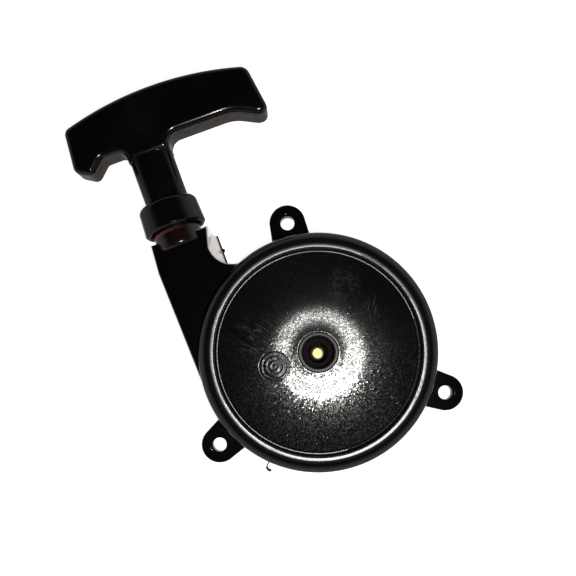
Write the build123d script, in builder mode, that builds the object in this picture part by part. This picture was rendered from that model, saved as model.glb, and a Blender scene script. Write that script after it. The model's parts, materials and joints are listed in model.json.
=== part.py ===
from build123d import *
import math
import os

# Recoil starter for a small engine: a round plastic case with a rope neck, a
# spring-driven reel on a hollow post, two pawls and a T-grip on a rope.
# Millimetres. Z = 0 is the mounting plane, +Z the outer face, +Y the pull.

os.makedirs("parts", exist_ok=True)

# ---- case
CASE_R = 52.6
CASE_WALL = 3.1
CASE_H = 28.0
SHOULDER_R = 5.8
CHAMBER_R = CASE_R - CASE_WALL
CHAMBER_TOP = 22.0
DOME_TOP = 27.0
DOME_CREST_R = 17.0
DOME_BEND_R = 110.0
ROOF_T = 2.1
LIP_INNER_R = 45.6
LIP_FOOT_R = 44.8
FOOT_CURVE = 0.8
TROUGH_R = 13.8
TROUGH_Z = 26.92
CREST_R = 19.7
CREST_Z = 27.1
ROLL_R = 23.5
ROLL_Z = 26.92
SLOPE_R = 31.0
SLOPE_Z = 26.2
FACE_EDGE_Z = 24.45

# ---- centre post and the hole in the face
POST_R = 9.0
POST_END = 4.4
FACE_HOLE_R = 6.6
BOSS_R = 8.4
BOSS_TOP = 27.6
STEP_Z = 19.0
CORE_R = 4.05
POST_FLOOR = 8.0

# ---- round mark on the face
MARK_X = -19.9
MARK_Y = 0.8
MARK_R = 6.75
MARK_RING_R = 4.6
MARK_INNER_R = 2.9
MARK_PIN_R = 1.2
MARK_LINE = 0.45
MARK_DEPTH = 0.35

# ---- fixing ears
EAR_PITCH_R = 62.1
EAR_END_R = 8.4
EAR_ROOT_HALF = 9.2
EAR_T = 5.0
EAR_HOLE_R = 3.25
EAR_FACE_R = 4.4
EAR_FIRST = 83.0
EAR_COUNT = 3

# ---- rope line and neck
ROPE_X = -41.0
ROPE_Z = 14.0
ROPE_R = 1.7
NECK_TOP = 20.5
NECK_LEFT = -54.4
NECK_RIGHT = -26.8
NECK_WAIST = -29.3
NECK_MOUTH = 69.6
NECK_BEND_Y = 60.3
NECK_CURVE_R = 11.0
FLANK_FOOT = -25.0
MOUTH_BACK = 56.0

# ---- rope guide
GUIDE_R = 10.8
GUIDE_BACK = 64.5
GUIDE_TIP = 84.2
GUIDE_SPIGOT_R = 5.0
GUIDE_BORE_R = 2.7
GUIDE_FLARE = 3.0
GUIDE_BACK_FLARE = 1.6

# ---- grip
GRIP_T = 15.0
GRIP_EDGE = 3.0
GRIP_LEFT = -74.2
GRIP_RIGHT = 16.6
GRIP_CREST = 136.7
GRIP_CREST_X = -31.0
GRIP_SHOULDER = 130.6
GRIP_UNDER = 113.3
GRIP_HORN = 108.0
GRIP_STUB = 107.4
STEM_X = -40.4
STEM_W = 19.4
STEM_T = 14.0
STEM_EDGE = 6.9
SKIRT_R = 13.95
SKIRT_TOP_R = 13.4
SKIRT_BOTTOM = 73.5
SKIRT_TOP = 86.5
SKIRT_EDGE = 2.6
SKIRT_BORE_R = 11.6
SKIRT_SEAT = 84.5
GRIP_BORE_R = 2.4
POCKET_R = 5.4
POCKET_FLOOR = 120.0
PLUG_FLOOR = 131.5

# ---- reel
REEL_R = 46.5
REEL_BOTTOM = 10.6
GROOVE_LOW = 12.1
GROOVE_HIGH = 15.9
REEL_TOP = 16.9
DRUM_R = 28.4
DRUM_INNER_R = 26.0
WEB_Z = 14.0
HUB_R = 12.4
HUB_BOTTOM = 4.6
SPRING_HUB_R = 12.6
SPRING_HUB_TOP = 22.4
LINER_R = 9.8
RUN_GAP = 0.05

# ---- rope on the reel
WRAP_PITCH = 3.6
WRAP_TURNS = 3
REEL_KNOT_X = -20.5
REEL_KNOT_Y = -5.0
KNOT_POCKET_R = 4.2

# ---- recoil spring
STRIP_T = 0.5
STRIP_LOW = 17.4
STRIP_HIGH = 21.9
COIL_IN_R = 13.2
COIL_OUT_R = 40.2
COIL_HALVES = 17
SLOT_ANGLE = 225.65

# ---- pawls and their guide
PIVOT_R = 22.0
PIN_R = 2.0
PAWL_LOW = 7.0
PAWL_HIGH = 10.4
PAWL_SWING = 24.0
GUIDE_SWING = 12.0
PEG_X = 21.0
PEG_Y = -8.0
PEG_R = 1.2
PLATE_LOW = 5.0
PLATE_HIGH = 6.2
PAWL_ANGLES = [90.0, 270.0]

# ---- screw, washer and brake ring
SCREW_R = 2.45
SCREW_HEAD_R = 4.9
SCREW_HEAD_LOW = 1.2
WASHER_R = 16.0
WASHER_LOW = 3.4


def dome_z(radius):
    """Height of the plain dome that the inside of the roof follows."""
    return DOME_TOP - (radius - DOME_CREST_R) ** 2 / (2 * DOME_BEND_R)


def face_line(drop=0.0):
    """Outer face from the foot of the lip to the post: it falls away outside a
    soft crest, and dips a little between the crest and the post."""
    Spline(
        (LIP_FOOT_R - FOOT_CURVE, FACE_EDGE_Z - drop),
        (SLOPE_R, SLOPE_Z - drop),
        (ROLL_R, ROLL_Z - drop),
        (CREST_R, CREST_Z - drop),
        (TROUGH_R, TROUGH_Z - drop),
        (POST_R + 0.3, DOME_TOP + 0.1 - drop),
    )


def turned(x, y, angle):
    """A point turned about the reel axis."""
    a = math.radians(angle)
    return (x * math.cos(a) - y * math.sin(a), x * math.sin(a) + y * math.cos(a))


def swung(x, y, angle, pivot):
    """A point turned about a pivot on the +X axis."""
    qx, qy = turned(x - pivot, y, angle)
    return (qx + pivot, qy)


def walk(start, heading, moves, side=0.0):
    """Follow straight and round moves, offset to the left by side; draws each
    one and returns the first and last points."""
    x, y = start
    h = math.radians(heading)
    first = (x - side * math.sin(h), y + side * math.cos(h))
    here = first
    for length_or_radius, turn in moves:
        if turn == 0:
            x = x + length_or_radius * math.cos(h)
            y = y + length_or_radius * math.sin(h)
            there = (x - side * math.sin(h), y + side * math.cos(h))
            Line(here, there)
        else:
            sign = 1 if turn > 0 else -1
            cx = x - sign * length_or_radius * math.sin(h)
            cy = y + sign * length_or_radius * math.cos(h)
            r = length_or_radius - sign * side
            mid = h + math.radians(turn) / 2
            end = h + math.radians(turn)
            middle = (cx + sign * r * math.sin(mid), cy - sign * r * math.cos(mid))
            there = (cx + sign * r * math.sin(end), cy - sign * r * math.cos(end))
            ThreePointArc(here, middle, there)
            x = cx + sign * length_or_radius * math.sin(end)
            y = cy - sign * length_or_radius * math.cos(end)
            h = end
        here = there
    return first, here


def rope_plane():
    """Sketch plane through the rope line: x is the radius, y runs along it."""
    return Plane(origin=(ROPE_X, 0, ROPE_Z), x_dir=(1, 0, 0), z_dir=(0, 0, 1))


ROPE_AXIS = Axis((ROPE_X, 0, ROPE_Z), (0, 1, 0))


def ear(angle):
    """One fixing ear with soft edges, turned into place."""
    with BuildPart() as blank:
        with BuildSketch():
            with BuildLine():
                Polyline(
                    (44, EAR_ROOT_HALF + 0.6),
                    (EAR_PITCH_R, EAR_END_R),
                    (EAR_PITCH_R, -EAR_END_R),
                    (44, -EAR_ROOT_HALF - 0.6),
                    close=True,
                )
            make_face()
            with Locations((EAR_PITCH_R, 0)):
                Circle(EAR_END_R)
        extrude(amount=EAR_T)
        rim = blank.faces().sort_by(Axis.Z)[-1].edges()
        fillet(rim.filter_by_position(Axis.X, 50, 80), 0.8)
    return blank.part.rotate(Axis.Z, angle)


def neck_blank():
    """Outside of the rope neck, merging with the round wall."""
    bend_x = NECK_WAIST + NECK_CURVE_R
    corner = NECK_CURVE_R * math.sin(math.radians(45))
    reach = CASE_R / (CASE_R + NECK_CURVE_R)
    with BuildPart() as blank:
        with BuildSketch():
            with BuildLine():
                Polyline(
                    (bend_x * reach, NECK_BEND_Y * reach),
                    (0, 40),
                    (-30, 0),
                    (-CASE_R, -1),
                    (NECK_LEFT, 57),
                    (NECK_LEFT + 1.0, NECK_MOUTH),
                    (NECK_RIGHT, NECK_MOUTH),
                    (NECK_WAIST, NECK_BEND_Y),
                )
                ThreePointArc(
                    (NECK_WAIST, NECK_BEND_Y),
                    (bend_x - corner, NECK_BEND_Y - corner),
                    (bend_x * reach, NECK_BEND_Y * reach),
                )
            make_face()
        extrude(amount=NECK_TOP)
        rim = blank.faces().sort_by(Axis.Z)[-1].edges()
        outer = [e for e in rim if math.hypot(e.center().X, e.center().Y) > 50]
        fillet(outer, 1.3)
    return blank.part


def neck_flank():
    """Sloping flank on the inner side of the neck, with a thin bead at its foot."""
    with BuildPart() as flank:
        with BuildSketch(Plane.XZ.offset(-NECK_MOUTH + 1.6)):
            with BuildLine():
                Polyline(
                    (NECK_WAIST - 0.6, 0),
                    (FLANK_FOOT, 0),
                    (FLANK_FOOT, 1.0),
                    (FLANK_FOOT - 0.7, 1.2),
                    (NECK_WAIST - 0.2, NECK_TOP - 2.2),
                    (NECK_WAIST - 0.6, NECK_TOP - 2.2),
                    close=True,
                )
            make_face()
        extrude(amount=NECK_MOUTH - 1.6 - 50)
        with Locations((FLANK_FOOT, 60.5, 0.7)):
            Cylinder(0.9, 1.4)
    return flank.part


# ------------------------------------------------------------------ case
# thin round lines sunk into the face, all to one depth below it
with BuildPart() as mark_lines:
    with BuildSketch(Plane.XZ):
        with BuildLine():
            face_line(MARK_DEPTH)
            Polyline(
                (POST_R + 0.3, DOME_TOP + 0.1 - MARK_DEPTH),
                (POST_R + 0.3, CASE_H + 1),
                (LIP_FOOT_R - FOOT_CURVE, CASE_H + 1),
                (LIP_FOOT_R - FOOT_CURVE, FACE_EDGE_Z - MARK_DEPTH),
            )
        make_face()
    revolve(axis=Axis.Z)
    with BuildSketch(Plane.XY.offset(20)):
        with Locations((MARK_X, MARK_Y)):
            Circle(MARK_R)
            Circle(MARK_R - MARK_LINE, mode=Mode.SUBTRACT)
            Circle(MARK_RING_R)
            Circle(MARK_RING_R - MARK_LINE, mode=Mode.SUBTRACT)
            Circle(MARK_INNER_R)
            Circle(MARK_INNER_R - MARK_LINE, mode=Mode.SUBTRACT)
            Circle(MARK_PIN_R)
    extrude(amount=10, mode=Mode.INTERSECT)

with BuildPart() as starter_case:
    with BuildSketch(Plane.XZ):
        with BuildLine():
            bend = SHOULDER_R * math.sin(math.radians(45))
            crown = CASE_R - SHOULDER_R
            inward = crown - LIP_INNER_R
            lip_z = CASE_H - SHOULDER_R + math.sqrt(SHOULDER_R**2 - inward**2)
            foot_z = FACE_EDGE_Z + FOOT_CURVE
            soft = FOOT_CURVE * (1 - math.sin(math.radians(45)))
            Polyline((0, DOME_TOP + 0.1), (0, 0), (CASE_R, 0), (CASE_R, CASE_H - SHOULDER_R))
            ThreePointArc(
                (CASE_R, CASE_H - SHOULDER_R),
                (crown + bend, CASE_H - SHOULDER_R + bend),
                (crown, CASE_H),
            )
            ThreePointArc(
                (crown, CASE_H),
                (crown - inward / 2, CASE_H - (inward / 2) ** 2 / (2 * SHOULDER_R)),
                (LIP_INNER_R, lip_z),
            )
            Line((LIP_INNER_R, lip_z), (LIP_INNER_R - 0.45, lip_z - 0.45))
            Line((LIP_INNER_R - 0.45, lip_z - 0.45), (LIP_FOOT_R, foot_z))
            ThreePointArc(
                (LIP_FOOT_R, foot_z),
                (LIP_FOOT_R - soft, FACE_EDGE_Z + soft),
                (LIP_FOOT_R - FOOT_CURVE, FACE_EDGE_Z),
            )
            face_line()
            Line((POST_R + 0.3, DOME_TOP + 0.1), (0, DOME_TOP + 0.1))
        make_face()
    revolve(axis=Axis.Z)
    add(neck_blank())
    add(neck_flank())
    for k in range(EAR_COUNT):
        add(ear(EAR_FIRST + k * 360 / EAR_COUNT))
    # reel and spring chamber
    with BuildSketch(Plane.XZ):
        with BuildLine():
            Polyline(
                (0, DOME_TOP - ROOF_T),
                (0, -1),
                (CHAMBER_R, -1),
                (CHAMBER_R, CHAMBER_TOP),
                (41.5, CHAMBER_TOP),
            )
            Spline(
                (41.5, CHAMBER_TOP),
                (35, dome_z(35) - ROOF_T),
                (26, dome_z(26) - ROOF_T),
                (DOME_CREST_R, DOME_TOP - ROOF_T),
            )
            Line((DOME_CREST_R, DOME_TOP - ROOF_T), (0, DOME_TOP - ROOF_T))
        make_face()
    revolve(axis=Axis.Z, mode=Mode.SUBTRACT)
    # hole that the centre post is pressed into
    with Locations((0, 0, DOME_TOP)):
        Cylinder(POST_R + 0.01, 8, mode=Mode.SUBTRACT)
    # rope channel, open towards the engine, and the seat of the rope guide
    with BuildSketch(Plane.XY.offset(-1)):
        with BuildLine():
            Polyline(
                (-50.4, 14),
                (-52.0, MOUTH_BACK),
                (NECK_WAIST - 2.5, MOUTH_BACK),
                (NECK_WAIST - 2.5, 30),
                (-30, 14),
                close=True,
            )
        make_face()
    extrude(amount=NECK_TOP - 1.5, mode=Mode.SUBTRACT)
    with BuildSketch(rope_plane()):
        with BuildLine():
            Polyline(
                (0, MOUTH_BACK - 1),
                (GUIDE_SPIGOT_R + RUN_GAP, MOUTH_BACK - 1),
                (GUIDE_SPIGOT_R + RUN_GAP, GUIDE_BACK - 0.1),
                (GUIDE_R + RUN_GAP, GUIDE_BACK - 0.1),
                (GUIDE_R + RUN_GAP, NECK_MOUTH + 1),
                (0, NECK_MOUTH + 1),
                close=True,
            )
        make_face()
    revolve(axis=ROPE_AXIS, mode=Mode.SUBTRACT)
    # slot that lets the spring's outer end out of the wall
    slot_x, slot_y = turned(CASE_R - 1, 0, SLOT_ANGLE)
    with Locations(Location((slot_x, slot_y, 19.6), (0, 0, SLOT_ANGLE))):
        Box(8, 1.8, 4.8, mode=Mode.SUBTRACT)
    # ear holes with a shallow seat for the screw head
    for k in range(EAR_COUNT):
        hx, hy = turned(EAR_PITCH_R, 0, EAR_FIRST + k * 360 / EAR_COUNT)
        with Locations((hx, hy, EAR_T / 2)):
            Cylinder(EAR_HOLE_R, EAR_T + 2, mode=Mode.SUBTRACT)
        with Locations((hx, hy, EAR_T)):
            Cylinder(EAR_FACE_R, 1.0, mode=Mode.SUBTRACT)
    # plain round mark left by the mould
    add(mark_lines.part, mode=Mode.SUBTRACT)

starter_case.part.label = "starter_case"
export_step(starter_case.part, "parts/starter_case.step")


# ------------------------------------------------------------------ centre post
with BuildPart() as center_post:
    with BuildSketch(Plane.XZ):
        with BuildLine():
            Polyline(
                (3.12, POST_END),
                (POST_R, POST_END),
                (POST_R, DOME_TOP),
                (BOSS_R, BOSS_TOP),
                (FACE_HOLE_R + 0.8, BOSS_TOP),
                (FACE_HOLE_R, BOSS_TOP - 0.9),
                (FACE_HOLE_R - 0.1, STEP_Z),
                (CORE_R + 0.6, STEP_Z),
                (CORE_R, STEP_Z - 0.6),
                (CORE_R, POST_FLOOR),
                (3.12, POST_FLOOR),
                close=True,
            )
        make_face()
    revolve(axis=Axis.Z)
center_post.part.label = "center_post"
export_step(center_post.part, "parts/center_post.step")


# ------------------------------------------------------------------ screw group
with BuildPart() as pivot_insert:
    with Locations((0, 0, (POST_END + POST_FLOOR) / 2)):
        Cylinder(3.1, POST_FLOOR - POST_END)
        Cylinder(SCREW_R + RUN_GAP, POST_FLOOR - POST_END, mode=Mode.SUBTRACT)
pivot_insert.part.label = "pivot_insert"
export_step(pivot_insert.part, "parts/pivot_insert.step")

with BuildPart() as retaining_washer:
    with Locations((0, 0, (WASHER_LOW + POST_END) / 2)):
        Cylinder(WASHER_R, POST_END - WASHER_LOW)
        Cylinder(SCREW_R + RUN_GAP, POST_END - WASHER_LOW, mode=Mode.SUBTRACT)
    fillet(retaining_washer.edges().filter_by(GeomType.CIRCLE).sort_by(Axis.Z)[0], 0.3)
retaining_washer.part.label = "retaining_washer"
export_step(retaining_washer.part, "parts/retaining_washer.step")

with BuildPart() as center_screw:
    with BuildSketch(Plane.XZ):
        with BuildLine():
            Polyline(
                (0, SCREW_HEAD_LOW),
                (SCREW_HEAD_R - 1.4, SCREW_HEAD_LOW),
                (SCREW_HEAD_R - 0.3, SCREW_HEAD_LOW + 0.6),
                (SCREW_HEAD_R, SCREW_HEAD_LOW + 1.3),
                (SCREW_HEAD_R, WASHER_LOW),
                (SCREW_R, WASHER_LOW),
                (SCREW_R, POST_FLOOR + 0.15),
                (SCREW_R - 0.15, POST_FLOOR + 0.3),
                (0, POST_FLOOR + 0.3),
                close=True,
            )
        make_face()
    revolve(axis=Axis.Z)
    with Locations((0, 0, SCREW_HEAD_LOW + 0.5)):
        Box(6.0, 1.1, 1.8, mode=Mode.SUBTRACT)
        Box(1.1, 6.0, 1.8, mode=Mode.SUBTRACT)
center_screw.part.label = "center_screw"
export_step(center_screw.part, "parts/center_screw.step")

with BuildPart() as brake_spring:
    with Locations((0, 0, 4.7)):
        Cylinder(15.7, 0.5)
        Cylinder(13.2, 0.5, mode=Mode.SUBTRACT)
    with Locations((14.5, 0, 4.7)):
        Box(5, 3, 2, mode=Mode.SUBTRACT)
brake_spring.part.label = "brake_spring"
export_step(brake_spring.part, "parts/brake_spring.step")


# ------------------------------------------------------------------ reel
def spoke(angle):
    """One stiffening rib between hub and drum."""
    with BuildPart() as rib:
        with Locations(((HUB_R + DRUM_INNER_R) / 2, 0, (REEL_BOTTOM + WEB_Z) / 2 + 0.6)):
            Box(DRUM_INNER_R - HUB_R + 1, 1.8, WEB_Z - REEL_BOTTOM)
    return rib.part.rotate(Axis.Z, angle)


with BuildPart() as reel:
    with BuildSketch(Plane.XZ):
        with BuildLine():
            Polyline(
                (LINER_R, HUB_BOTTOM),
                (HUB_R, HUB_BOTTOM),
                (HUB_R, WEB_Z),
                (DRUM_INNER_R, WEB_Z),
                (DRUM_INNER_R, REEL_BOTTOM),
                (REEL_R, REEL_BOTTOM),
                (REEL_R, GROOVE_LOW - 0.4),
                (DRUM_R + 4, GROOVE_LOW),
                (DRUM_R, GROOVE_LOW),
                (DRUM_R, GROOVE_HIGH),
                (DRUM_R + 4, GROOVE_HIGH),
                (REEL_R, GROOVE_HIGH + 0.2),
                (REEL_R, REEL_TOP),
                (SPRING_HUB_R, REEL_TOP),
                (SPRING_HUB_R, SPRING_HUB_TOP),
                (LINER_R, SPRING_HUB_TOP),
                close=True,
            )
        make_face()
    revolve(axis=Axis.Z)
    for k in range(4):
        add(spoke(45 + 90 * k))
    for angle in PAWL_ANGLES:
        px, py = turned(PIVOT_R, 0, angle)
        with Locations((px, py, (REEL_BOTTOM + WEB_Z) / 2 + 0.5)):
            Cylinder(4.7, WEB_Z - REEL_BOTTOM + 1.0)
        with Locations((px, py, REEL_BOTTOM + 2)):
            Cylinder(PIN_R, 4.0, mode=Mode.SUBTRACT)
    # knot pocket behind the drum, with a window for the rope
    with Locations((REEL_KNOT_X, REEL_KNOT_Y, (REEL_BOTTOM + 16.2) / 2)):
        Cylinder(KNOT_POCKET_R + 1.2, 16.2 - REEL_BOTTOM)
        Cylinder(KNOT_POCKET_R, 16.2 - REEL_BOTTOM, mode=Mode.SUBTRACT)
    with Locations((-26.5, -3.4, (GROOVE_LOW + GROOVE_HIGH) / 2)):
        Box(7.6, 8.0, GROOVE_HIGH - GROOVE_LOW - 0.36, mode=Mode.SUBTRACT)
    # slit that takes the spring's inner end
    with Locations((SPRING_HUB_R - 0.9, 0, (REEL_TOP + SPRING_HUB_TOP) / 2 + 0.3)):
        Box(2.4, 1.2, SPRING_HUB_TOP - REEL_TOP, mode=Mode.SUBTRACT)
reel.part.label = "reel"
export_step(reel.part, "parts/reel.step")

with BuildPart() as post_liner:
    with Locations((0, 0, (HUB_BOTTOM + SPRING_HUB_TOP) / 2)):
        Cylinder(LINER_R - 0.02, SPRING_HUB_TOP - HUB_BOTTOM)
        Cylinder(POST_R + RUN_GAP, SPRING_HUB_TOP - HUB_BOTTOM, mode=Mode.SUBTRACT)
post_liner.part.label = "post_liner"
export_step(post_liner.part, "parts/post_liner.step")

with BuildPart() as spring_cover:
    with Locations((0, 0, 17.15)):
        Cylinder(CHAMBER_R - 0.3, 0.3)
        Cylinder(SPRING_HUB_R + 0.5, 0.3, mode=Mode.SUBTRACT)
spring_cover.part.label = "spring_cover"
export_step(spring_cover.part, "parts/spring_cover.step")


# ------------------------------------------------------------------ recoil spring
def coil_station(k):
    """Distance from the axis where the coil crosses the X axis; the coils
    crowd together towards the outside."""
    return COIL_IN_R + (COIL_OUT_R - COIL_IN_R) * (k / COIL_HALVES) ** 0.6


def spring_moves():
    halves = []
    for k in range(COIL_HALVES):
        halves.append(((coil_station(k) + coil_station(k + 1)) / 2, 180))
    # round to the slot, out through the wall and into the hook
    out = [(COIL_OUT_R, 34.15), (10.0, -78.5), (5.4, 0), (1.6, 125)]
    return halves + out


with BuildPart() as recoil_spring:
    with BuildSketch(Plane.XY.offset(STRIP_LOW)):
        with BuildLine():
            in_a, out_a = walk((COIL_IN_R, 0), 90, spring_moves(), STRIP_T / 2)
            in_b, out_b = walk((COIL_IN_R, 0), 90, spring_moves(), -STRIP_T / 2)
            Line(in_a, in_b)
            Line(out_a, out_b)
        make_face()
    extrude(amount=STRIP_HIGH - STRIP_LOW)
    with Locations((COIL_IN_R - 0.9, 0.25, (STRIP_LOW + STRIP_HIGH) / 2)):
        Box(2.2, 0.5, STRIP_HIGH - STRIP_LOW)
recoil_spring.part.label = "recoil_spring"
export_step(recoil_spring.part, "parts/recoil_spring.step")


# ------------------------------------------------------------------ rope
def wrap_moves():
    """Half turns from the inside end out to the point where the rope leaves."""
    outer = -ROPE_X - WRAP_PITCH / 4
    moves = []
    for k in range(2 * WRAP_TURNS):
        moves.append((outer - k * WRAP_PITCH / 2, 180))
    return moves


def knot(x, y, z, size):
    """A tied knot: a core with two crossing loops of rope."""
    with BuildPart() as tied:
        with Locations((x, y, z)):
            Sphere(size * 0.86)
        with Locations(Location((x, y, z), (35, 20, 0))):
            Torus(size * 0.55, size * 0.44)
        with Locations(Location((x, y, z), (-40, 65, 20))):
            Torus(size * 0.55, size * 0.44)
    return tied.part


with BuildPart() as rope_winding:
    with BuildLine(Plane.XY.offset(ROPE_Z)) as coil:
        walk((ROPE_X, 0), 270, wrap_moves() + [(4.6, 90), (1.6, 0)])
    with BuildSketch(Plane(origin=(ROPE_X, 0, ROPE_Z), z_dir=(0, -1, 0))):
        Circle(ROPE_R)
    sweep(path=coil.wire())
rope_winding.part.label = "rope_winding"
export_step(rope_winding.part, "parts/rope_winding.step")

with BuildPart() as reel_knot:
    add(knot(REEL_KNOT_X - 0.2, REEL_KNOT_Y, 13.35, 2.75))
reel_knot.part.label = "reel_knot"
export_step(reel_knot.part, "parts/reel_knot.step")

with BuildPart() as rope_lead:
    with BuildSketch(Plane(origin=(ROPE_X, 0.02, ROPE_Z), z_dir=(0, 1, 0))):
        Circle(ROPE_R)
    extrude(amount=POCKET_FLOOR + 2.4)
rope_lead.part.label = "rope_lead"
export_step(rope_lead.part, "parts/rope_lead.step")

with BuildPart() as rope_guide:
    with BuildSketch(rope_plane()):
        with BuildLine():
            Polyline(
                (GUIDE_BORE_R + GUIDE_BACK_FLARE, MOUTH_BACK + 0.5),
                (GUIDE_SPIGOT_R, MOUTH_BACK + 0.5),
                (GUIDE_SPIGOT_R, GUIDE_BACK),
                (GUIDE_R - 2.0, GUIDE_BACK),
            )
            RadiusArc((GUIDE_R - 2.0, GUIDE_BACK), (GUIDE_R, GUIDE_BACK + 2.0), -2.0)
            Line((GUIDE_R, GUIDE_BACK + 2.0), (GUIDE_R - 0.3, GUIDE_TIP - 3.0))
            RadiusArc((GUIDE_R - 0.3, GUIDE_TIP - 3.0), (GUIDE_R - 3.3, GUIDE_TIP), -3.0)
            Line((GUIDE_R - 3.3, GUIDE_TIP), (GUIDE_BORE_R + GUIDE_FLARE, GUIDE_TIP))
            RadiusArc(
                (GUIDE_BORE_R + GUIDE_FLARE, GUIDE_TIP),
                (GUIDE_BORE_R, GUIDE_TIP - GUIDE_FLARE),
                -GUIDE_FLARE,
            )
            Line(
                (GUIDE_BORE_R, GUIDE_TIP - GUIDE_FLARE),
                (GUIDE_BORE_R, MOUTH_BACK + 0.5 + GUIDE_BACK_FLARE),
            )
            RadiusArc(
                (GUIDE_BORE_R, MOUTH_BACK + 0.5 + GUIDE_BACK_FLARE),
                (GUIDE_BORE_R + GUIDE_BACK_FLARE, MOUTH_BACK + 0.5),
                -GUIDE_BACK_FLARE,
            )
        make_face()
    revolve(axis=ROPE_AXIS)
rope_guide.part.label = "rope_guide"
export_step(rope_guide.part, "parts/rope_guide.step")


# ------------------------------------------------------------------ grip
def grip_bar():
    """The hand bar: crowned top, longer arm on +X, a horn at each end."""
    stem_right = STEM_X + STEM_W / 2
    stem_left = STEM_X - STEM_W / 2
    with BuildPart() as bar:
        with BuildSketch(Plane.XY.offset(ROPE_Z)) as outline:
            with BuildLine():
                ThreePointArc(
                    (GRIP_LEFT + 1.8, GRIP_SHOULDER),
                    (GRIP_CREST_X, GRIP_CREST),
                    (GRIP_RIGHT - 3.2, GRIP_SHOULDER - 0.4),
                )
                Polyline(
                    (GRIP_RIGHT - 3.2, GRIP_SHOULDER - 0.4),
                    (GRIP_RIGHT, GRIP_HORN),
                    (GRIP_RIGHT - 5.4, GRIP_HORN),
                    (0.6, GRIP_UNDER),
                    (stem_right, GRIP_UNDER),
                    (stem_right, GRIP_STUB),
                    (stem_left, GRIP_STUB),
                    (stem_left, GRIP_UNDER),
                    (GRIP_LEFT + 13.9, GRIP_UNDER),
                    (GRIP_LEFT + 7.3, GRIP_HORN - 0.7),
                    (GRIP_LEFT, GRIP_HORN + 3.8),
                    (GRIP_LEFT + 1.8, GRIP_SHOULDER),
                )
            make_face()
            for x, y, r in (
                (GRIP_LEFT + 1.8, GRIP_SHOULDER, 3.6),
                (GRIP_RIGHT - 3.2, GRIP_SHOULDER - 0.4, 4.4),
                (GRIP_RIGHT, GRIP_HORN, 3.3),
                (GRIP_RIGHT - 5.4, GRIP_HORN, 5.5),
                (0.6, GRIP_UNDER, 18.0),
                (stem_right, GRIP_UNDER, 5.2),
                (stem_left, GRIP_UNDER, 3.5),
                (GRIP_LEFT + 13.9, GRIP_UNDER, 2.6),
                (GRIP_LEFT + 7.3, GRIP_HORN - 0.7, 3.2),
                (GRIP_LEFT, GRIP_HORN + 3.8, 3.4),
            ):
                corner = outline.vertices().sort_by_distance((x, y, ROPE_Z))[0]
                fillet(corner, r)
        extrude(amount=GRIP_T / 2)
        fillet(bar.faces().sort_by(Axis.Z)[-1].edges(), GRIP_EDGE)
        mirror(about=Plane.XY.offset(ROPE_Z))
    return bar.part


def grip_stem():
    """Stem between bar and skirt, with round flanks."""
    with BuildPart() as stem:
        section = Plane(origin=(STEM_X, SKIRT_SEAT, ROPE_Z), x_dir=(1, 0, 0), z_dir=(0, 1, 0))
        with BuildSketch(section):
            RectangleRounded(STEM_W, STEM_T, STEM_EDGE)
        extrude(amount=113 - SKIRT_SEAT)
    return stem.part


def grip_skirt():
    """Round skirt that drops over the rope guide."""
    with BuildPart() as skirt:
        with BuildSketch(rope_plane()):
            with BuildLine():
                Polyline(
                    (0, SKIRT_TOP),
                    (0, SKIRT_BOTTOM),
                    (SKIRT_R - 0.8, SKIRT_BOTTOM),
                    (SKIRT_R, SKIRT_BOTTOM + 0.8),
                    (SKIRT_TOP_R, SKIRT_TOP - SKIRT_EDGE),
                )
                RadiusArc(
                    (SKIRT_TOP_R, SKIRT_TOP - SKIRT_EDGE),
                    (SKIRT_TOP_R - SKIRT_EDGE, SKIRT_TOP),
                    -SKIRT_EDGE,
                )
                Line((SKIRT_TOP_R - SKIRT_EDGE, SKIRT_TOP), (0, SKIRT_TOP))
            make_face()
        revolve(axis=ROPE_AXIS)
    return skirt.part


with BuildPart() as handle_grip:
    add(grip_bar())
    add(grip_stem())
    add(grip_skirt())
    with BuildSketch(rope_plane()):
        with BuildLine():
            Polyline(
                (0, SKIRT_BOTTOM - 1),
                (SKIRT_BORE_R + 1.2, SKIRT_BOTTOM - 1),
                (SKIRT_BORE_R, SKIRT_BOTTOM + 1.2),
                (SKIRT_BORE_R - 0.3, SKIRT_SEAT),
                (GRIP_BORE_R + 1.0, SKIRT_SEAT),
                (GRIP_BORE_R, SKIRT_SEAT + 1.5),
                (GRIP_BORE_R, POCKET_FLOOR),
                (POCKET_R, POCKET_FLOOR),
                (POCKET_R, GRIP_CREST + 2),
                (0, GRIP_CREST + 2),
                close=True,
            )
        make_face()
    revolve(axis=ROPE_AXIS, mode=Mode.SUBTRACT)
handle_grip.part.label = "handle_grip"
export_step(handle_grip.part, "parts/handle_grip.step")

with BuildPart() as grip_plug:
    add(grip_bar())
    with BuildSketch(Plane(origin=(ROPE_X, PLUG_FLOOR, ROPE_Z), z_dir=(0, 1, 0))):
        Circle(POCKET_R - RUN_GAP)
    extrude(amount=12, mode=Mode.INTERSECT)
grip_plug.part.label = "grip_plug"
export_step(grip_plug.part, "parts/grip_plug.step")

with BuildPart() as handle_washer:
    with BuildSketch(Plane(origin=(ROPE_X, POCKET_FLOOR + 0.02, ROPE_Z), z_dir=(0, 1, 0))):
        Circle(POCKET_R - 0.3)
        Circle(ROPE_R + 0.25, mode=Mode.SUBTRACT)
    extrude(amount=1.2)
handle_washer.part.label = "handle_washer"
export_step(handle_washer.part, "parts/handle_washer.step")

with BuildPart() as handle_knot:
    add(knot(ROPE_X, POCKET_FLOOR + 6.3, ROPE_Z, 3.7))
handle_knot.part.label = "handle_knot"
export_step(handle_knot.part, "parts/handle_knot.step")


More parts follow.
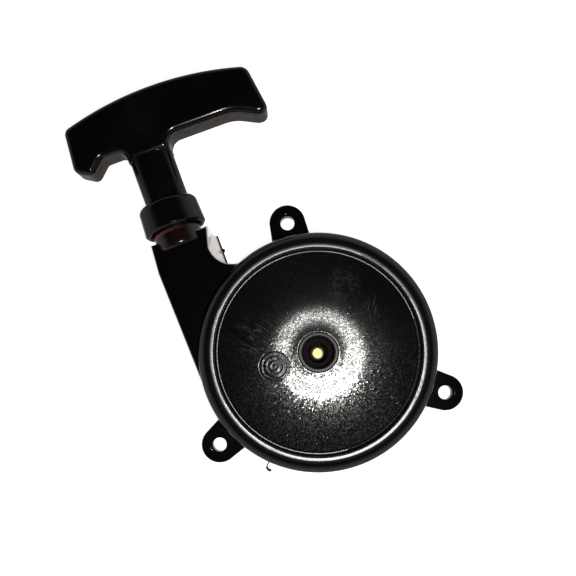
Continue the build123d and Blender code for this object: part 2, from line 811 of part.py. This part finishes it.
# ------------------------------------------------------------------ pawls
def pawl_shape(angle):
    """A pawl at rest: eye on the pivot, nose trailing clockwise, peg below."""
    with BuildPart() as blank:
        with BuildSketch(Plane.XY.offset(PAWL_LOW)) as plan:
            with BuildLine():
                Polyline(
                    (25.4, 1.6),
                    (29.3, -7.0),
                    (31.3, -13.0),
                    (32.2, -18.6),
                    (28.9, -18.2),
                    (26.6, -13.4),
                    (23.4, -10.6),
                    (20.2, -10.4),
                    (18.6, -8.2),
                    (18.3, 1.2),
                    close=True,
                )
            make_face()
            with Locations((PIVOT_R, 0)):
                Circle(4.0)
            fillet(plan.vertices().sort_by_distance((32.2, -18.6, PAWL_LOW))[0], 0.8)
            with Locations((PIVOT_R, 0)):
                Circle(PIN_R + RUN_GAP, mode=Mode.SUBTRACT)
        extrude(amount=PAWL_HIGH - PAWL_LOW)
        with Locations((PEG_X, PEG_Y, PAWL_LOW - 0.9)):
            Cylinder(PEG_R, 1.84)
    return blank.part.rotate(Axis.Z, angle)


def pin_shape(angle):
    """Headed steel pin, pressed into the reel."""
    with BuildPart() as blank:
        with Locations((PIVOT_R, 0, 6.62)):
            Cylinder(3.1, 0.66)
        with Locations((PIVOT_R, 0, (6.9 + REEL_BOTTOM + 3.8) / 2)):
            Cylinder(PIN_R, REEL_BOTTOM + 3.8 - 6.9)
    return blank.part.rotate(Axis.Z, angle)


with BuildPart() as pawl_a:
    add(pawl_shape(PAWL_ANGLES[0]))
pawl_a.part.label = "pawl_a"
export_step(pawl_a.part, "parts/pawl_a.step")

with BuildPart() as pawl_b:
    add(pawl_shape(PAWL_ANGLES[1]))
pawl_b.part.label = "pawl_b"
export_step(pawl_b.part, "parts/pawl_b.step")

with BuildPart() as pawl_pin_a:
    add(pin_shape(PAWL_ANGLES[0]))
pawl_pin_a.part.label = "pawl_pin_a"
export_step(pawl_pin_a.part, "parts/pawl_pin_a.step")

with BuildPart() as pawl_pin_b:
    add(pin_shape(PAWL_ANGLES[1]))
pawl_pin_b.part.label = "pawl_pin_b"
export_step(pawl_pin_b.part, "parts/pawl_pin_b.step")


def peg_path(share):
    """Where the peg stands in the turning plate at a share of its swing."""
    x, y = swung(PEG_X, PEG_Y, PAWL_SWING * share, PIVOT_R)
    return turned(x, y, -GUIDE_SWING * share)


def plate_arm(angle):
    """One arm of the pawl guide, with a slot along the peg's own path."""
    start = peg_path(-0.04)
    mid = peg_path(0.5)
    end = peg_path(1.04)
    with BuildPart() as arm:
        with BuildSketch(Plane.XY.offset(PLATE_LOW)):
            with BuildLine():
                Polyline(
                    (13.5, -13.5),
                    (16.5, -2.0),
                    (19.0, -4.6),
                    (24.6, -5.4),
                    (26.4, -12.0),
                    (24.6, -17.4),
                    (18.0, -16.5),
                    close=True,
                )
            make_face()
        extrude(amount=PLATE_HIGH - PLATE_LOW)
        with BuildSketch(Plane.XY.offset(PLATE_LOW)):
            with BuildLine():
                ThreePointArc(start, mid, end)
            trace(line_width=2 * PEG_R + 0.3)
            with Locations(start, end):
                Circle(PEG_R + 0.15)
        extrude(amount=PLATE_HIGH - PLATE_LOW, mode=Mode.SUBTRACT)
    return arm.part.rotate(Axis.Z, angle)


with BuildPart() as pawl_guide:
    with Locations((0, 0, (PLATE_LOW + PLATE_HIGH) / 2)):
        Cylinder(18.5, PLATE_HIGH - PLATE_LOW)
    for angle in PAWL_ANGLES:
        add(plate_arm(angle))
    with Locations((0, 0, (PLATE_LOW + PLATE_HIGH) / 2)):
        Cylinder(HUB_R + RUN_GAP, PLATE_HIGH - PLATE_LOW, mode=Mode.SUBTRACT)
pawl_guide.part.label = "pawl_guide"
export_step(pawl_guide.part, "parts/pawl_guide.step")
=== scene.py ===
import json
import math

import bmesh
import bpy
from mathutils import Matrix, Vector


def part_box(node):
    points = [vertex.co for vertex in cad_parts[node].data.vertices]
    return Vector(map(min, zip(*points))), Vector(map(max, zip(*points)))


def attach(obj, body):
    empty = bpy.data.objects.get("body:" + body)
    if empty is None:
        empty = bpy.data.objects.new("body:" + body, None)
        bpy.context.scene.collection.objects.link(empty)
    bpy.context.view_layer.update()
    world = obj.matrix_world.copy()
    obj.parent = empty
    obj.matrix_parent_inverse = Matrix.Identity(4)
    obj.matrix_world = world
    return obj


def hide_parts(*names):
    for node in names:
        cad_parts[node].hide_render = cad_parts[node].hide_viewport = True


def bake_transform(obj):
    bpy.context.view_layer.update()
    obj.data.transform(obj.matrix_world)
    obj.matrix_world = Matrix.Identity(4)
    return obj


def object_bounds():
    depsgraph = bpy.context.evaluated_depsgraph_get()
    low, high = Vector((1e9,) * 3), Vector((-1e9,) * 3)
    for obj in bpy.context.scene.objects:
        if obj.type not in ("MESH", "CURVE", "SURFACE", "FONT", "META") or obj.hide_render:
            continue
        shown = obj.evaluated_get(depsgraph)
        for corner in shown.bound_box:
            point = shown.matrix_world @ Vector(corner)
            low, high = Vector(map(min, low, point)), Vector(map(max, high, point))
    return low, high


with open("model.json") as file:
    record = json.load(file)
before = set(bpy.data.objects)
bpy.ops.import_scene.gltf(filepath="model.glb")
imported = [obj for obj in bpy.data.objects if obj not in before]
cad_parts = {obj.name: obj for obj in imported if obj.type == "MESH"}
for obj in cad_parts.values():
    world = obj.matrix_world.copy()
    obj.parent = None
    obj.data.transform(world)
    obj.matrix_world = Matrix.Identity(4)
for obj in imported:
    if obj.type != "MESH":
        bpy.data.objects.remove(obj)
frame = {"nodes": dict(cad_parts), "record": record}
cad_lo, cad_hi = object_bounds()
scene = bpy.context.scene
nodes = frame["nodes"]
MM = 0.001

# ---------------------------------------------------------------- sizes from the frame, in metres
lead_lo, lead_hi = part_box("rope_lead")
ROPE_R = (lead_hi[0] - lead_lo[0]) / 2
ROPE_X = (lead_lo[0] + lead_hi[0]) / 2
ROPE_Z = (lead_lo[2] + lead_hi[2]) / 2
FACE_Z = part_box("starter_case")[1][2]
POST_RIM_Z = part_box("center_post")[1][2]

# ---------------------------------------------------------------- places on the surfaces, in mm
DISH_R = 43.6                                         # where the grained face meets the lip
DISH_DEPTH = 6.0                                      # the grain stops this far below the case's top
LIP_R = 48.2                                          # outer edge of the lip
MARK_X, MARK_Y, MARK_R = -19.9, 0.8, 6.75             # round moulding mark beside the post
MARK_WAVES = 3.5                                      # ripples from its middle to its edge
REFLECTION_X, REFLECTION_Y = -21.0, 64.0                        # painted reflection, a whitish patch on the inner side of the neck
HIGHLIGHT_Y, HIGHLIGHT_CORE, HIGHLIGHT_EDGE = 72.3, 0.3, 0.9   # painted highlight, a reddish stripe across the guide
GRIP_WALL_Y = 91.0                                    # the grip's upright walls carry a mottled painted reflection beyond this
GRAIN = 2300                                          # cells of the face's grain in a metre
WHOLE_TURN = 2 * math.pi


# ---------------------------------------------------------------- shader helpers
class Graph:
    """A small wrapper that adds and joins shader nodes."""

    def __init__(self, name):
        self.mat = bpy.data.materials.new(name)
        self.mat.use_nodes = True
        self.tree = self.mat.node_tree
        self.tree.nodes.clear()
        self.out = self.add("ShaderNodeOutputMaterial")
        self.bsdf = self.add("ShaderNodeBsdfPrincipled")
        self.tree.links.new(self.bsdf.outputs[0], self.out.inputs["Surface"])

    def add(self, kind, **props):
        node = self.tree.nodes.new(kind)
        for key, value in props.items():
            setattr(node, key, value)
        return node

    def put(self, value, socket):
        if isinstance(value, (int, float, tuple, list)):
            socket.default_value = value
        else:
            self.tree.links.new(value, socket)

    def coords(self, scale=(1, 1, 1), turn=0.0):
        """Places on the object in metres, turned about Z by so many degrees, then scaled."""
        tex = self.add("ShaderNodeTexCoord")
        turned = self.add("ShaderNodeVectorRotate", rotation_type="Z_AXIS")
        turned.inputs["Angle"].default_value = math.radians(turn)
        self.put(tex.outputs["Object"], turned.inputs["Vector"])
        mapping = self.add("ShaderNodeMapping")
        self.put(turned.outputs[0], mapping.inputs["Vector"])
        mapping.inputs["Scale"].default_value = scale
        return mapping.outputs[0]

    def split(self, vector):
        """The x, y and z of a vector."""
        n = self.add("ShaderNodeSeparateXYZ")
        self.put(vector, n.inputs[0])
        return n.outputs

    def levelness(self):
        """1 on a level surface, 0 on an upright wall."""
        normal = self.add("ShaderNodeNewGeometry").outputs["Normal"]
        return self.math("ABSOLUTE", self.split(normal)[2])

    def noise(self, scale, detail=2.0, rough=0.5, vector=None, distortion=0.0):
        n = self.add("ShaderNodeTexNoise")
        n.inputs["Scale"].default_value = scale
        n.inputs["Detail"].default_value = detail
        n.inputs["Roughness"].default_value = rough
        n.inputs["Distortion"].default_value = distortion
        self.put(vector if vector is not None else self.coords(), n.inputs["Vector"])
        return n.outputs["Fac"]

    def cells(self, scale):
        """A random colour for each cell."""
        n = self.add("ShaderNodeTexVoronoi", feature="F1")
        n.inputs["Scale"].default_value = scale
        self.put(self.coords(), n.inputs["Vector"])
        return n.outputs["Color"]

    def math(self, op, a, b=0.0):
        n = self.add("ShaderNodeMath", operation=op)
        self.put(a, n.inputs[0])
        self.put(b, n.inputs[1])
        return n.outputs[0]

    def product(self, first, *others):
        for other in others:
            first = self.math("MULTIPLY", first, other)
        return first

    def length(self, x, y):
        squares = self.math("ADD", self.product(x, x), self.product(y, y))
        return self.math("SQRT", squares)

    def vector(self, op, a, b):
        n = self.add("ShaderNodeVectorMath", operation=op)
        self.put(a, n.inputs[0])
        self.put(b, n.inputs["Scale" if op == "SCALE" else 1])
        return n.outputs["Value" if op == "DISTANCE" else "Vector"]

    def ramp(self, value, low, high, to_low=0.0, to_high=1.0):
        n = self.add("ShaderNodeMapRange", clamp=True)
        self.put(value, n.inputs["Value"])
        n.inputs["From Min"].default_value = low
        n.inputs["From Max"].default_value = high
        n.inputs["To Min"].default_value = to_low
        n.inputs["To Max"].default_value = to_high
        return n.outputs[0]

    def mix(self, share, a, b, kind="RGBA"):
        n = self.add("ShaderNodeMix", data_type=kind)
        self.put(share, n.inputs["Factor"])
        self.put(a, n.inputs["A"])
        self.put(b, n.inputs["B"])
        return n.outputs["Result"]

    def bump(self, height, strength, distance, normal=None):
        n = self.add("ShaderNodeBump")
        n.inputs["Strength"].default_value = strength
        n.inputs["Distance"].default_value = distance
        self.put(height, n.inputs["Height"])
        if normal is not None:
            self.put(normal, n.inputs["Normal"])
        return n.outputs[0]

    def soft_edges(self, radius):
        n = self.add("ShaderNodeBevel", samples=4)
        n.inputs["Radius"].default_value = radius
        return n.outputs[0]

    def edge_calm(self, level, low=0.06):
        """Specular level that fades towards edge on, so the bright floor stays out of the walls."""
        facing = self.add("ShaderNodeLayerWeight")
        facing.inputs["Blend"].default_value = 0.5
        edge_on = self.ramp(facing.outputs["Facing"], 0.15, 0.60)
        return self.product(self.ramp(edge_on, 0.0, 1.0, 1.0, low), level)

    def finish(self, color, rough, metallic=0.0, normal=None, spec=0.5, sheen=0.0):
        self.put(color, self.bsdf.inputs["Base Color"])
        self.put(rough, self.bsdf.inputs["Roughness"])
        self.put(metallic, self.bsdf.inputs["Metallic"])
        self.put(spec, self.bsdf.inputs["Specular IOR Level"])
        self.put(sheen, self.bsdf.inputs["Sheen Weight"])
        if normal is not None:
            self.put(normal, self.bsdf.inputs["Normal"])
        return self.mat


def near_spot(g, x, y, reach, core=0.35):
    """1 over a spot seen from above, falling to 0 at the given reach; all in mm."""
    apart = g.vector("DISTANCE", g.coords((1, 1, 0)), (x * MM, y * MM, 0))
    return g.ramp(apart, reach * core * MM, reach * MM, 1.0, 0.0)


def facets(g, scale, amount, base):
    """Tilts the normal a little at random, cell by cell, for a moulded grain."""
    centred = g.vector("SUBTRACT", g.cells(scale), (0.5, 0.5, 0.5))
    tilted = g.vector("ADD", base, g.vector("SCALE", centred, amount))
    return g.vector("NORMALIZE", tilted, (0, 0, 0))


def gate_mark(g):
    """The round moulding mark beside the post: 1 inside it, and its ripples."""
    x, y = g.split(g.coords())[:2]
    apart = g.length(g.math("SUBTRACT", x, MARK_X * MM), g.math("SUBTRACT", y, MARK_Y * MM))
    inside = g.ramp(apart, (MARK_R - 0.1) * MM, (MARK_R + 0.3) * MM, 1.0, 0.0)
    wave = g.math("COSINE", g.product(apart, WHOLE_TURN / (MARK_R / MARK_WAVES * MM)))
    return inside, g.product(wave, inside)


def face_marks(g):
    """Faint strokes in two patches of the face and a bloom in a third."""

    def strokes(scale, turn, distortion, start, spot):
        lines = g.noise(1.0, 2.0, 0.6, g.coords(scale, turn), distortion)
        return g.product(g.ramp(lines, start, 0.68), spot)

    right = strokes((1100, 170, 60), 35, 0.4, 0.58, near_spot(g, 29, 8, 8))
    left = strokes((1000, 130, 60), -40, 0.8, 0.56, near_spot(g, -24, 15, 11))
    bloom = g.product(g.ramp(g.noise(260, 5.0, 0.75, None, 1.5), 0.46, 0.66),
                      near_spot(g, 20, 24, 9, 0.2))
    return g.math("MAXIMUM", g.math("MAXIMUM", right, left), bloom)


def case_plastic():
    """Black moulded nylon: grained inside the lip, smooth and glossy outside it."""
    g = Graph("case_black")
    x, y, height = g.split(g.coords())
    radius = g.length(x, y)
    dish = g.product(g.ramp(radius, (DISH_R - 0.8) * MM, DISH_R * MM, 1.0, 0.0),
                     g.ramp(height, FACE_Z - DISH_DEPTH * MM, FACE_Z - (DISH_DEPTH - 1.0) * MM))
    mark, mark_rings = gate_mark(g)

    cloud = g.noise(34, 4.0, 0.6)
    sparks = g.ramp(g.noise(1700, 1.0, 0.5), 0.60, 0.72, 1.0, 2.8)
    smooth = g.bump(g.noise(420, 2.0, 0.5), 0.12, 0.06 * MM)
    rippled = g.bump(mark_rings, 1.0, 0.045 * MM, smooth)
    normal = facets(g, GRAIN, g.math("ADD", g.product(dish, 0.095, sparks), 0.008), rippled)

    # whitish marks and specks on the face, and a painted reflection on the upright side of the neck
    specks = g.product(g.ramp(g.noise(2100, 1.0, 0.5), 0.60, 0.72), g.ramp(cloud, 0.35, 0.75))
    marks_and_reflection = g.math("ADD", g.product(face_marks(g), dish, 0.05), g.product(specks, dish, 0.022))
    upright = g.ramp(g.levelness(), 0.60, 0.90, 1.0, 0.0)
    # painted reflection: upright faces near this spot are coloured whitish, as if they mirrored the bright
    # floor
    painted_neck_reflection = g.product(near_spot(g, REFLECTION_X, REFLECTION_Y, 16, 0.75), upright)
    marks_and_reflection = g.math("MAXIMUM", marks_and_reflection, g.product(painted_neck_reflection, 0.9))
    color = g.mix(marks_and_reflection, (0.0012, 0.0009, 0.0010, 1), (0.55, 0.50, 0.46, 1))

    grained = g.math("ADD", g.ramp(cloud, 0.3, 0.7, 0.19, 0.23), g.product(mark, 0.06))
    lip = g.product(g.ramp(radius, (DISH_R - 0.4) * MM, (DISH_R + 0.2) * MM),
                    g.ramp(radius, LIP_R * MM, (LIP_R + 1.8) * MM, 1.0, 0.0))
    glossy = g.math("ADD", g.ramp(cloud, 0.3, 0.7, 0.11, 0.14), g.product(lip, 0.15))
    rough = g.mix(dish, glossy, grained, "FLOAT")

    # the cells of the grain differ in how strongly they reflect
    shiny = g.ramp(g.cells(GRAIN), 0.25, 0.75, 0.18, 0.74)
    outside = g.math("ADD", g.edge_calm(0.32), g.product(painted_neck_reflection, 0.7))
    inside = g.product(shiny, g.math("SUBTRACT", 1.0, g.product(mark, 0.60)))
    spec = g.mix(dish, outside, inside, "FLOAT")
    return g.finish(color, rough, normal=normal, spec=spec)


def post_plastic():
    """The centre post: a little gloss on its rim, dull and faintly ringed down the hole."""
    g = Graph("post_black")
    height = g.split(g.coords())[2]
    rim = g.ramp(height, POST_RIM_Z - 2.2 * MM, POST_RIM_Z - 0.2 * MM)
    normal = g.bump(g.noise(GRAIN, 2.0, 0.6), 0.5, 0.09 * MM, g.soft_edges(0.25 * MM))
    rings = g.math("SINE", g.product(height, 9000))
    rough = g.math("SUBTRACT", 0.62, g.product(rim, 0.28))
    spec = g.math("ADD", 0.02, g.product(rim, 0.10))
    color = g.mix(g.ramp(rings, 0.2, 1.0, 0.0, 0.4), (0.0040, 0.0034, 0.0030, 1), (0.010, 0.009, 0.008, 1))
    return g.finish(color, rough, normal=normal, spec=spec)


def gloss_black():
    """Polished black grip plastic with faint waves; its upright walls carry a painted reflection in a
    mottled brown grey.
    """
    g = Graph("grip_black")
    height = g.math("ADD", g.noise(60, 2.0, 0.5), g.product(g.noise(1400, 2.0, 0.5), 0.05))
    normal = g.bump(height, 0.10, 0.12 * MM, g.soft_edges(0.4 * MM))
    cloud = g.noise(45, 3.0, 0.6)
    color = g.mix(g.ramp(cloud, 0.45, 0.75), (0.0012, 0.0011, 0.0016, 1), (0.0032, 0.0022, 0.0026, 1))
    along = g.split(g.coords())[1]
    # painted reflection: upright walls get a mottled brown grey in place of the bright surroundings they
    # would mirror
    painted_wall_reflection = g.product(g.ramp(g.levelness(), 0.15, 0.45, 1.0, 0.0),
                     g.ramp(along, (GRIP_WALL_Y - 4.0) * MM, GRIP_WALL_Y * MM))
    mottle = g.ramp(g.noise(420, 4.0, 0.65), 0.30, 0.75, 0.15, 1.0)
    color = g.mix(g.product(painted_wall_reflection, mottle), color, (0.050, 0.040, 0.034, 1))
    rough = g.math("ADD", g.ramp(cloud, 0.3, 0.75, 0.13, 0.22), g.product(painted_wall_reflection, 0.12))
    return g.finish(color, rough, normal=normal, spec=g.edge_calm(0.22))


def guide_plastic():
    """Glossy brownish black, with a painted reddish highlight across it just below the grip's skirt."""
    g = Graph("guide_plastic")
    normal = g.bump(g.noise(90, 2.0, 0.5), 0.15, 0.15 * MM, g.soft_edges(0.4 * MM))
    cloud = g.noise(120, 3.0, 0.6)
    color = g.mix(g.ramp(cloud, 0.4, 0.7), (0.0028, 0.0014, 0.0013, 1), (0.0065, 0.0024, 0.0022, 1))
    x, y = g.split(g.coords())[:2]
    # painted highlight: a reddish stripe of colour where the light would catch the guide just below the
    # skirt
    painted_highlight = g.product(
        g.ramp(y, (HIGHLIGHT_Y - HIGHLIGHT_EDGE) * MM, (HIGHLIGHT_Y - HIGHLIGHT_CORE) * MM),
        g.ramp(y, (HIGHLIGHT_Y + HIGHLIGHT_CORE) * MM, (HIGHLIGHT_Y + HIGHLIGHT_EDGE) * MM, 1.0, 0.0),
        g.ramp(x, ROPE_X - 9 * MM, ROPE_X + 6 * MM, 1.0, 0.0),
        g.ramp(g.noise(500, 2.0, 0.6), 0.35, 0.6, 0.4, 1.0))
    color = g.mix(painted_highlight, color, (0.13, 0.030, 0.030, 1))
    rough = g.ramp(cloud, 0.3, 0.7, 0.14, 0.24)
    return g.finish(color, rough, normal=normal, spec=g.edge_calm(0.32, 0.12))


def metal(name, tone, rough, grain_scale, stretch=(1, 1, 1), strength=0.15, rim=1.0):
    """A worn metal with fine directional grain and patchy tarnish; a low rim dims its edges."""
    g = Graph(name)
    lines = g.noise(grain_scale, 3.0, 0.6, g.coords(stretch))
    normal = g.bump(lines, strength, 0.03 * MM, g.soft_edges(0.15 * MM))
    cloud = g.noise(160, 4.0, 0.6)
    dark = tuple(c * 0.6 for c in tone)
    color = g.mix(g.ramp(cloud, 0.35, 0.7), (*tone, 1), (*dark, 1))
    g.bsdf.inputs["Specular Tint"].default_value = (rim, rim, rim, 1)
    return g.finish(color, g.ramp(cloud, 0.3, 0.7, rough, rough + 0.14), 1.0, normal, spec=0.5 * rim)


def natural_nylon():
    """The reel's off-white nylon, which lets a little light in."""
    g = Graph("reel_plastic")
    normal = g.bump(g.noise(900, 3.0, 0.6), 0.12, 0.05 * MM, g.soft_edges(0.35 * MM))
    cloud = g.noise(60, 3.0, 0.6)
    color = g.mix(g.ramp(cloud, 0.4, 0.7), (0.66, 0.64, 0.58, 1), (0.52, 0.49, 0.43, 1))
    g.bsdf.inputs["Subsurface Weight"].default_value = 0.1
    g.bsdf.inputs["Subsurface Radius"].default_value = (2 * MM, 2 * MM, 1.5 * MM)
    return g.finish(color, g.ramp(cloud, 0.3, 0.7, 0.38, 0.52), normal=normal)


def braid(name, from_attribute):
    """Braided starter rope: crossing plaits with fleck yarns, measured in metres along it."""
    g = Graph(name)
    if from_attribute:
        att = g.add("ShaderNodeAttribute", attribute_name="rope_uv")
        turn, run = g.split(att.outputs["Vector"])[:2]
    else:
        x, run, z = g.split(g.coords())
        across = g.math("SUBTRACT", x, ROPE_X)
        over = g.math("SUBTRACT", z, ROPE_Z)
        turn = g.math("DIVIDE", g.math("ARCTAN2", over, across), WHOLE_TURN)
    plait = 8.0
    pitch = 9.0 * MM
    around = g.product(turn, plait)
    up = g.product(run, plait / pitch)
    left = g.math("SINE", g.product(g.math("ADD", around, up), WHOLE_TURN))
    right = g.math("SINE", g.product(g.math("SUBTRACT", around, up), WHOLE_TURN))
    weave = g.product(g.math("ABSOLUTE", g.math("ADD", left, right)), 0.5)
    height = g.math("ADD", weave, g.product(g.noise(6000, 2.0, 0.6), 0.15))
    fleck = g.ramp(g.product(left, right), 0.72, 0.85)
    color = g.mix(fleck, (0.74, 0.72, 0.66, 1), (0.06, 0.07, 0.11, 1))
    color = g.mix(g.ramp(g.noise(150, 3.0, 0.6), 0.45, 0.8, 0.0, 0.45), color, (0.20, 0.18, 0.15, 1))
    return g.finish(color, 0.75, normal=g.bump(height, 0.7, 0.35 * MM), spec=0.3, sheen=0.25)


MATS = {
    "case_black": case_plastic(),
    "post_black": post_plastic(),
    "grip_black": gloss_black(),
    "guide_plastic": guide_plastic(),
    "reel_plastic": natural_nylon(),
    "screw_brass": metal("screw_brass", (0.46, 0.39, 0.17), 0.52, 1500, strength=0.5),
    "zinc_steel": metal("zinc_steel", (0.42, 0.43, 0.43), 0.42, 1200),
    "spring_steel": metal("spring_steel", (0.020, 0.020, 0.022), 0.34, 900, (1, 1, 12), rim=0.10),
    "cover_steel": metal("cover_steel", (0.50, 0.50, 0.50), 0.34, 700, (1, 14, 1)),
    "liner_bronze": metal("liner_bronze", (0.50, 0.31, 0.15), 0.42, 2500),
    "guide_plate": metal("guide_plate", (0.42, 0.42, 0.43), 0.32, 800, (14, 1, 1)),
    "pawl_steel": metal("pawl_steel", (0.20, 0.20, 0.21), 0.30, 1500),
    "insert_steel": metal("insert_steel", (0.035, 0.032, 0.030), 0.60, 1500),
    "rope": braid("rope", True),
    "rope_run": braid("rope_run", False),
}

SPECIAL_FINISH = {"center_post": "post_black", "pivot_insert": "insert_steel"}

for part in frame["record"]["subparts"]:
    node = nodes[part["node"]]
    node.data.materials.clear()
    finish = SPECIAL_FINISH.get(part["node"], part["material_slot"])
    node.data.materials.append(MATS[finish])


# ---------------------------------------------------------------- rope pieces
def tube(name, points, radius, material, sides=20):
    """A closed tube along points, with its turn and run stored for the braid."""
    bm = bmesh.new()
    uv = bm.verts.layers.float_vector.new("rope_uv")
    rings = []
    run = 0.0
    up = Vector((0, 0, 1))
    for i, p in enumerate(points):
        before = points[max(i - 1, 0)]
        after = points[min(i + 1, len(points) - 1)]
        ahead = (after - before).normalized()
        if i:
            run += (p - before).length
        side = ahead.cross(up).normalized()
        top = side.cross(ahead).normalized()
        ring = []
        for k in range(sides):
            t = WHOLE_TURN * k / sides
            v = bm.verts.new(p + (side * math.cos(t) + top * math.sin(t)) * radius)
            v[uv] = (k / sides, run, 0)
            ring.append(v)
        rings.append(ring)
    for r0, r1 in zip(rings, rings[1:]):
        for k in range(sides):
            bm.faces.new((r0[k], r0[(k + 1) % sides], r1[(k + 1) % sides], r1[k]))
    bm.faces.new(rings[0][::-1])
    bm.faces.new(rings[-1])
    bmesh.ops.recalc_face_normals(bm, faces=bm.faces)
    mesh = bpy.data.meshes.new(name)
    bm.to_mesh(mesh)
    bm.free()
    for f in mesh.polygons:
        f.use_smooth = len(f.vertices) == 4
    obj = bpy.data.objects.new(name, mesh)
    scene.collection.objects.link(obj)
    mesh.materials.append(material)
    return obj


def straight(a, b, step):
    count = max(2, int((b - a).length / step))
    return [a.lerp(b, i / count) for i in range(count + 1)]


run_start = Vector((ROPE_X, lead_lo[1], ROPE_Z))
run_end = Vector((ROPE_X, lead_hi[1], ROPE_Z))
rope_run = tube("rope_run", straight(run_start, run_end, 1.0 * MM), ROPE_R, MATS["rope_run"])
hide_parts("rope_lead")
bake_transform(rope_run)


def wound_rope():
    """Centre line of the turns on the drum: half turns that shrink inwards."""
    pitch = 3.6 * MM
    half_turns = 6
    longest_step = 1.2 * MM
    here, heading = Vector((ROPE_X, 0, ROPE_Z)), -math.pi / 2
    outer = -ROPE_X - pitch / 4
    to_the_knot = (4.6 * MM, math.pi / 2)
    moves = [(outer - k * pitch / 2, math.pi) for k in range(half_turns)] + [to_the_knot]
    points = [here.copy()]
    for radius, turn in moves:
        count = max(6, int(radius * turn / longest_step))
        centre = here + Vector((-math.sin(heading), math.cos(heading), 0)) * radius
        for i in range(1, count + 1):
            a = heading + turn * i / count
            points.append(centre + Vector((math.sin(a), -math.cos(a), 0)) * radius)
        here, heading = points[-1], heading + turn
    return points


winding = tube("wound_rope", wound_rope(), ROPE_R * 0.995, MATS["rope"], sides=16)
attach(winding, "reel")
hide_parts("rope_winding")


def tied_knot(name, node, body, thickness):
    """An overhand knot pulled tight, filling the CAD knot's box."""
    lo, hi = (Vector(corner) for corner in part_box(node))
    centre = (lo + hi) / 2
    reach = (hi - lo) / 2 - Vector((1, 1, 1)) * thickness
    steps = 96
    points = []
    for i in range(steps + 1):
        t = WHOLE_TURN * i / steps
        x = (math.sin(t) + 2 * math.sin(2 * t)) / 3
        y = (math.cos(t) - 2 * math.cos(2 * t)) / 3
        z = -math.sin(3 * t)
        points.append(centre + Vector((x * reach.x, z * reach.y * 0.8, y * reach.z)))
    obj = tube(name, points, thickness, MATS["rope"], sides=14)
    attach(obj, body)
    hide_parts(node)


tied_knot("grip_knot", "handle_knot", "handle", 1.35 * MM)
tied_knot("drum_knot", "reel_knot", "reel", 0.95 * MM)


# ---------------------------------------------------------------- floor, light, camera
def floor_material():
    """Pale, and giving off light itself, so the flash leaves no shadow beside the object."""
    g = Graph("studio_floor")
    cloud = g.noise(3, 3.0, 0.5)
    color = g.mix(g.ramp(cloud, 0.4, 0.6), (0.40, 0.40, 0.40, 1), (0.43, 0.43, 0.43, 1))
    g.bsdf.inputs["Emission Color"].default_value = (1, 1, 1, 1)
    g.bsdf.inputs["Emission Strength"].default_value = 0.92
    return g.finish(color, 0.9, spec=0.1)


FLOOR_R = 6.0
FLOOR_Z = cad_lo[2] - 0.3 * MM
bpy.ops.mesh.primitive_circle_add(vertices=96, radius=FLOOR_R, fill_type="NGON", location=(0, 0, FLOOR_Z))
floor = bpy.context.object
floor.name = "studio_floor"
floor.data.materials.append(floor_material())

# the world is white at the horizon and nearly dark overhead
world = bpy.data.worlds.new("studio")
scene.world = world
world.use_nodes = True
sky = world.node_tree
sky.nodes.clear()
sky_out = sky.nodes.new("ShaderNodeOutputWorld")
sky_light = sky.nodes.new("ShaderNodeBackground")
sky_place = sky.nodes.new("ShaderNodeTexCoord")
sky_split = sky.nodes.new("ShaderNodeSeparateXYZ")
sky_fade = sky.nodes.new("ShaderNodeMapRange")
sky_fade.interpolation_type = "SMOOTHSTEP"
sky_fade.inputs["From Min"].default_value = 0.04
sky_fade.inputs["From Max"].default_value = 0.66
sky_fade.inputs["To Min"].default_value = 1.0
sky_fade.inputs["To Max"].default_value = 0.02
sky.links.new(sky_place.outputs["Generated"], sky_split.inputs[0])
sky.links.new(sky_split.outputs["Z"], sky_fade.inputs["Value"])
sky.links.new(sky_fade.outputs[0], sky_light.inputs["Strength"])
sky_light.inputs["Color"].default_value = (1.0, 1.0, 1.0, 1)
sky.links.new(sky_light.outputs[0], sky_out.inputs["Surface"])

# the camera hangs over the case and looks straight down, turned so the neck leans left
CAM = Vector((-7.7, -3.6, 318.0)) * MM
ROLL = math.radians(20)
VIEW_HALF = math.radians(46.25 / 2)
SENSOR = 36.0

cam_data = bpy.data.cameras.new("camera")
cam = bpy.data.objects.new("camera", cam_data)
scene.collection.objects.link(cam)
scene.camera = cam
cam_data.sensor_width = SENSOR
cam_data.lens = SENSOR / 2 / math.tan(VIEW_HALF)
cam_data.shift_x = -0.0288
cam_data.shift_y = 0.136
cam_data.clip_start = 0.01
cam_data.clip_end = 50
cam.location = CAM
cam.rotation_euler = (0, 0, -ROLL)

# one small flash beside the camera, aimed at the middle of the case
FLASH = CAM + Vector((15.4, -20.8, 0.0)) * MM
FLASH_AIM = Vector((0, 0, 20)) * MM

flash_data = bpy.data.lights.new("key_near", "AREA")
flash_data.shape = "DISK"
flash_data.size = 12 * MM
flash_data.energy = 1.05
flash_data.color = (1.0, 0.985, 0.95)
flash = bpy.data.objects.new("key_near", flash_data)
scene.collection.objects.link(flash)
flash.location = FLASH
flash.rotation_mode = "QUATERNION"
flash.rotation_quaternion = (FLASH - FLASH_AIM).to_track_quat("Z", "Y")

scene.view_settings.view_transform = "Standard"
scene.view_settings.look = "None"
